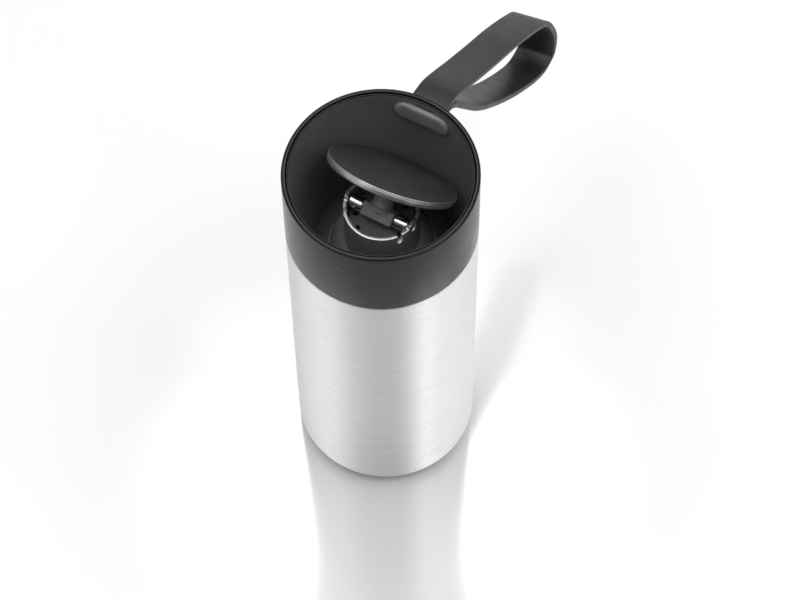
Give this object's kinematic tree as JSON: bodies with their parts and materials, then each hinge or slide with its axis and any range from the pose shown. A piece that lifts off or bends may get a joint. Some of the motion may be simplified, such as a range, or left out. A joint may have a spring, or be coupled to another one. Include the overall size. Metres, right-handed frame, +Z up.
{
  "type": "insulated travel mug",
  "caption": "Insulated steel travel mug with a black screw-in drinking lid, a tilting disc that opens its ring valve, and a soft carrying loop.",
  "frame": {"origin": "centre of the foot pad's underside, which the mug stands on", "axes": "+Z up along the mug's axis, +Y towards the strap, -Y the side drunk from"},
  "size_m": [0.076, 0.1795, 0.2044],
  "materials": {
    "brushed_steel": "fine brushing round the body",
    "bare_steel": "satin, as drawn",
    "polished_steel": "polished",
    "soft_touch": "soft-touch matte",
    "bowl_plastic": "satin moulded",
    "gloss_black": "gloss moulded",
    "disc_plastic": "fine matte with a smooth edge",
    "foot_rubber": "matte",
    "seal_silicone": "translucent grey silicone",
    "strap_silicone": "moulded silicone"
  },
  "bodies": {
    "vessel": {"outer_shell": "brushed_steel", "inner_vessel": "bare_steel", "inner_floor": "bare_steel", "base_cup": "brushed_steel", "foot_pad": "foot_rubber", "vacuum_seal": "bare_steel", "getter_cup": "bare_steel"},
    "lift_carrier": {"mouth_seal": "seal_silicone"},
    "thread_carrier": {"lid_gasket": "seal_silicone"},
    "lid": {"lid_collar": "soft_touch", "bowl_liner": "bowl_plastic", "lid_plug": "bowl_plastic", "guide_post": "bowl_plastic", "post_screw": "polished_steel", "valve_spring": "polished_steel", "strap_anchor": "strap_silicone"},
    "valve": {"hub_dome": "gloss_black", "hub_seal": "seal_silicone", "hinge_pin": "polished_steel", "pin_sleeve_left": "polished_steel", "pin_sleeve_right": "polished_steel"},
    "disc": {"flip_disc": "disc_plastic", "disc_knuckle": "gloss_black", "disc_screw_1": "polished_steel", "disc_screw_2": "polished_steel", "disc_screw_3": "polished_steel"},
    "strap": {"strap_loop": "strap_silicone"}
  },
  "joints": [
    {"name": "lid_lift", "type": "slide", "parent": "vessel", "child": "lift_carrier", "axis": [0, 0, 1], "range_m": [0, 0.035]},
    {"name": "lid_rise", "type": "slide", "parent": "lift_carrier", "child": "thread_carrier", "axis": [0, 0, 1], "range_m": [0, 0.005]},
    {"name": "lid_turn", "type": "hinge", "parent": "thread_carrier", "child": "lid", "pos_m": [0, 0, 0.16], "axis": [0, 0, 1], "range_deg": [0, 450]},
    {"name": "valve_lift", "type": "slide", "parent": "lid", "child": "valve", "axis": [0, 0, -1], "range_m": [0, 0.0025]},
    {"name": "disc_tilt", "type": "hinge", "parent": "valve", "child": "disc", "pos_m": [0, -0.0015, 0.1722], "axis": [1, 0, 0], "range_deg": [0, 46]},
    {"name": "strap_swing", "type": "hinge", "parent": "lid", "child": "strap", "pos_m": [0, 0.0422, 0.193], "axis": [1, 0, 0], "range_deg": [-25, 75], "stiffness_Nm_per_rad": 0.02, "springref_deg": 18.28}
  ],
  "couplings": [
    {"joint": "lid_rise", "follows": "lid_turn", "m_per_rad": 0.00063656},
    {"joint": "valve_lift", "follows": "disc_tilt", "m_per_rad": 0.0031136}
  ]
}
